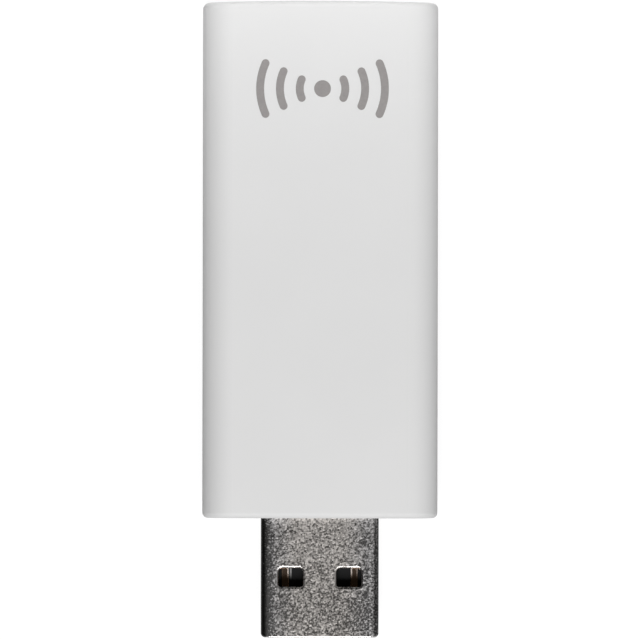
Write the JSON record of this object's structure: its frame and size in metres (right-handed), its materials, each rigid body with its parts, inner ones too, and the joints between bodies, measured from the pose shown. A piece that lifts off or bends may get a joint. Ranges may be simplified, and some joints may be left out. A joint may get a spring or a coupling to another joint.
{
  "type": "smart home usb radio stick",
  "caption": "Flat rounded plastic stick with a rectangular metal plug at one end, which holds a small radio circuit board for a home hub.",
  "frame": {"origin": "middle of the overall length and width, on the flat surface that the stick's back lies on", "axes": "+Y towards the far end of the housing, -Y out of the plug, +Z out of the front, X across"},
  "size_m": [0.0238, 0.0644, 0.0096],
  "materials": {
    "housing_plastic": "light grey-white moulded plastic with a fine satin texture",
    "plug_nickel": "nickel-plated folded sheet steel with a pebbled matt grain",
    "insulator_plastic": "black moulded plug insulator",
    "contact_gold": "gold-plated spring contact",
    "board_laminate": "green solder mask over glass laminate",
    "antenna_copper": "plated copper track",
    "shield_tin": "tinned sheet steel",
    "chip_plastic": "black chip moulding",
    "capacitor_ceramic": "tan ceramic with tinned ends",
    "resistor_ceramic": "dark glazed ceramic with tinned ends",
    "ferrite_ceramic": "dark grey ferrite with tinned ends",
    "fuse_laminate": "green laminate with tinned ends",
    "crystal_metal": "metal lid on a ceramic base"
  },
  "bodies": {
    "root": {"antenna_trace": "antenna_copper", "bridge_capacitor": "capacitor_ceramic", "circuit_board": "board_laminate", "contact_data_minus": "contact_gold", "contact_data_plus": "contact_gold", "contact_ground": "contact_gold", "contact_power": "contact_gold", "crystal_capacitor_1": "capacitor_ceramic", "crystal_capacitor_2": "capacitor_ceramic", "data_resistor_1": "resistor_ceramic", "data_resistor_2": "resistor_ceramic", "decoupling_capacitor_1": "capacitor_ceramic", "decoupling_capacitor_2": "capacitor_ceramic", "decoupling_capacitor_3": "capacitor_ceramic", "ferrite_bead": "ferrite_ceramic", "front_shell": "housing_plastic", "input_capacitor": "capacitor_ceramic", "matching_capacitor": "capacitor_ceramic", "matching_inductor_1": "ferrite_ceramic", "matching_inductor_2": "ferrite_ceramic", "output_capacitor": "capacitor_ceramic", "plug_insulator": "insulator_plastic", "plug_shell": "plug_nickel", "pull_up_resistor": "resistor_ceramic", "radio_chip": "chip_plastic", "radio_crystal": "crystal_metal", "rear_shell": "housing_plastic", "resettable_fuse": "fuse_laminate", "shield_cover": "shield_tin", "shield_frame": "shield_tin", "sleep_clock_crystal": "crystal_metal", "surge_protector": "chip_plastic", "usb_bridge_chip": "chip_plastic", "voltage_regulator": "chip_plastic"}
  },
  "joints": []
}
